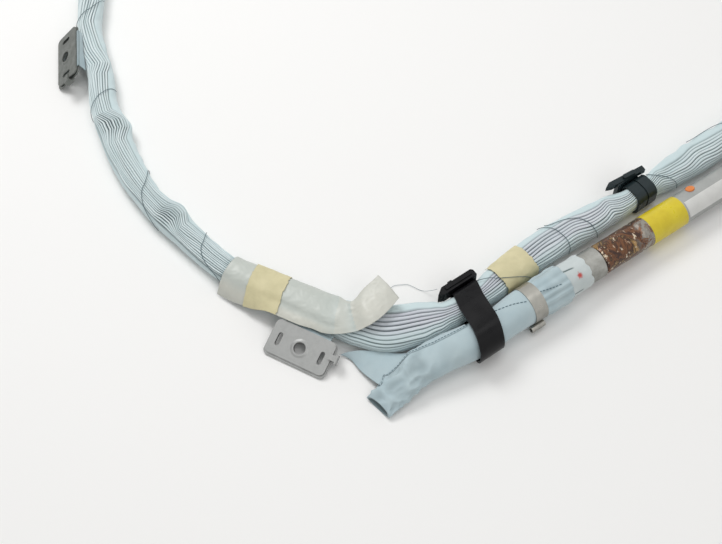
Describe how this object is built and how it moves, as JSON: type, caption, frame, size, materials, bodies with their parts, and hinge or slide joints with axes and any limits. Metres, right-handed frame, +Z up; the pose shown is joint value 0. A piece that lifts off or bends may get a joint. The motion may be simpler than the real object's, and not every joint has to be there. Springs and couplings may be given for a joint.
{
  "type": "side curtain airbag",
  "caption": "Folded side curtain airbag lying flat: pleated cushion bundle with sheet steel brackets, plastic clips, and a fabric fill sleeve clamped to a cylindrical gas inflator.",
  "frame": {"origin": "middle of the part's footprint, on the table it lies on", "axes": "+Z up from the table; +X the way the right arm of the cushion and the inflator run, to the right in the picture; +Y away from the viewer"},
  "size_m": [0.7888, 0.6308, 0.0401],
  "materials": {
    "cushion_fabric": "coated woven nylon, satin",
    "sleeve_fabric": "plain woven nylon, matt",
    "pale_fabric": "heat-proof cloth, matt",
    "film": "thin white wrap film, satin",
    "masking_tape": "creped paper tape, matt",
    "black_plastic": "moulded, fine grain",
    "zinc_steel": "zinc plated sheet, satin",
    "dark_steel": "dull phosphated sheet",
    "clamp_steel": "stainless band, satin",
    "neck_steel": "turned steel, satin",
    "stained_steel": "heat-stained, glossy, red and brown patches",
    "bottle_steel": "grey coated steel, semi-gloss",
    "yellow_label": "plain yellow band",
    "white_label": "plain white label",
    "orange_seal": "orange sealing lacquer on the fill plug",
    "pin_metal": "plated contact pins"
  },
  "bodies": {
    "root": {"folded_cushion": "cushion_fabric", "diffuser_neck": "neck_steel", "stained_chamber": "stained_steel", "gas_bottle": "bottle_steel", "yellow_band": "yellow_label", "white_label": "white_label", "fill_plug": "orange_seal", "end_closure": "neck_steel", "igniter_socket": "black_plastic", "igniter_pins": "pin_metal", "inlet_sleeve": "sleeve_fabric", "inner_sleeve": "pale_fabric", "throat_panel": "sleeve_fabric", "hose_clamp_band": "clamp_steel", "hose_clamp_pin": "clamp_steel", "cover_film": "film", "wrap_tape": "masking_tape", "cushion_tape": "masking_tape", "bundle_strap": "black_plastic", "strap_head": "black_plastic", "bundle_clip": "black_plastic", "clip_base": "black_plastic", "middle_bracket_front": "zinc_steel", "middle_bracket_back": "zinc_steel", "middle_fabric_tab": "sleeve_fabric", "end_bracket_front": "dark_steel", "end_bracket_back": "dark_steel", "end_fabric_tab": "sleeve_fabric"}
  },
  "joints": []
}
